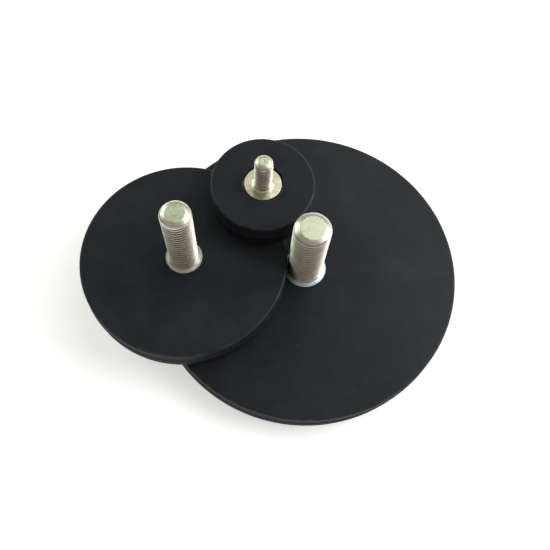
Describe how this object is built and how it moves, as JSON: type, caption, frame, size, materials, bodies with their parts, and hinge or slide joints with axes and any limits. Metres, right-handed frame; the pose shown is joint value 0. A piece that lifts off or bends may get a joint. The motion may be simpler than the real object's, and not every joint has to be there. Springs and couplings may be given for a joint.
{
  "type": "rubber-coated stud magnet set",
  "caption": "Rubber-coated round pot magnets in graded sizes, each with a threaded stud on its back, stacked flat and overlapping one another.",
  "frame": {"origin": "centre of the large magnet's holding face, on the surface it stands on", "axes": "+Z along the studs, away from the holding faces; +X from the medium magnet towards the large one's far edge; +Y towards the back, where the small magnet lies"},
  "size_m": [0.106, 0.088, 0.0436],
  "materials": {
    "rubber": "matt black moulded rubber",
    "zinc_plate": "bright zinc plate",
    "yoke_steel": "plain mild steel",
    "nickel_plate": "nickel plate"
  },
  "bodies": {
    "large_magnet": {"large_rubber_jacket": "rubber", "large_yoke_plate": "yoke_steel", "large_bush": "zinc_plate", "large_threaded_stud": "zinc_plate", "large_magnet_disc_01": "nickel_plate", "large_magnet_disc_02": "nickel_plate", "large_magnet_disc_03": "nickel_plate", "large_magnet_disc_04": "nickel_plate", "large_magnet_disc_05": "nickel_plate", "large_magnet_disc_06": "nickel_plate", "large_magnet_disc_07": "nickel_plate", "large_magnet_disc_08": "nickel_plate", "large_magnet_disc_09": "nickel_plate", "large_magnet_disc_10": "nickel_plate", "large_magnet_disc_11": "nickel_plate", "large_magnet_disc_12": "nickel_plate", "large_magnet_disc_13": "nickel_plate", "large_magnet_disc_14": "nickel_plate", "large_magnet_disc_15": "nickel_plate", "large_magnet_disc_16": "nickel_plate", "large_magnet_disc_17": "nickel_plate", "large_magnet_disc_18": "nickel_plate"},
    "medium_magnet": {"medium_rubber_jacket": "rubber", "medium_yoke_plate": "yoke_steel", "medium_bush": "zinc_plate", "medium_threaded_stud": "zinc_plate", "medium_magnet_disc_01": "nickel_plate", "medium_magnet_disc_02": "nickel_plate", "medium_magnet_disc_03": "nickel_plate", "medium_magnet_disc_04": "nickel_plate", "medium_magnet_disc_05": "nickel_plate", "medium_magnet_disc_06": "nickel_plate", "medium_magnet_disc_07": "nickel_plate", "medium_magnet_disc_08": "nickel_plate"},
    "small_magnet": {"small_rubber_jacket": "rubber", "small_yoke_plate": "yoke_steel", "small_bush": "zinc_plate", "small_threaded_stud": "zinc_plate", "small_magnet_disc_01": "nickel_plate", "small_magnet_disc_02": "nickel_plate", "small_magnet_disc_03": "nickel_plate", "small_magnet_disc_04": "nickel_plate"}
  },
  "joints": [
    {"name": "medium_lift_off", "type": "slide", "parent": "large_magnet", "child": "medium_magnet", "axis": [0, 0, 1], "range_m": [0, 0.03]},
    {"name": "small_lift_off", "type": "slide", "parent": "medium_magnet", "child": "small_magnet", "axis": [0, 0, 1], "range_m": [0, 0.03]}
  ]
}
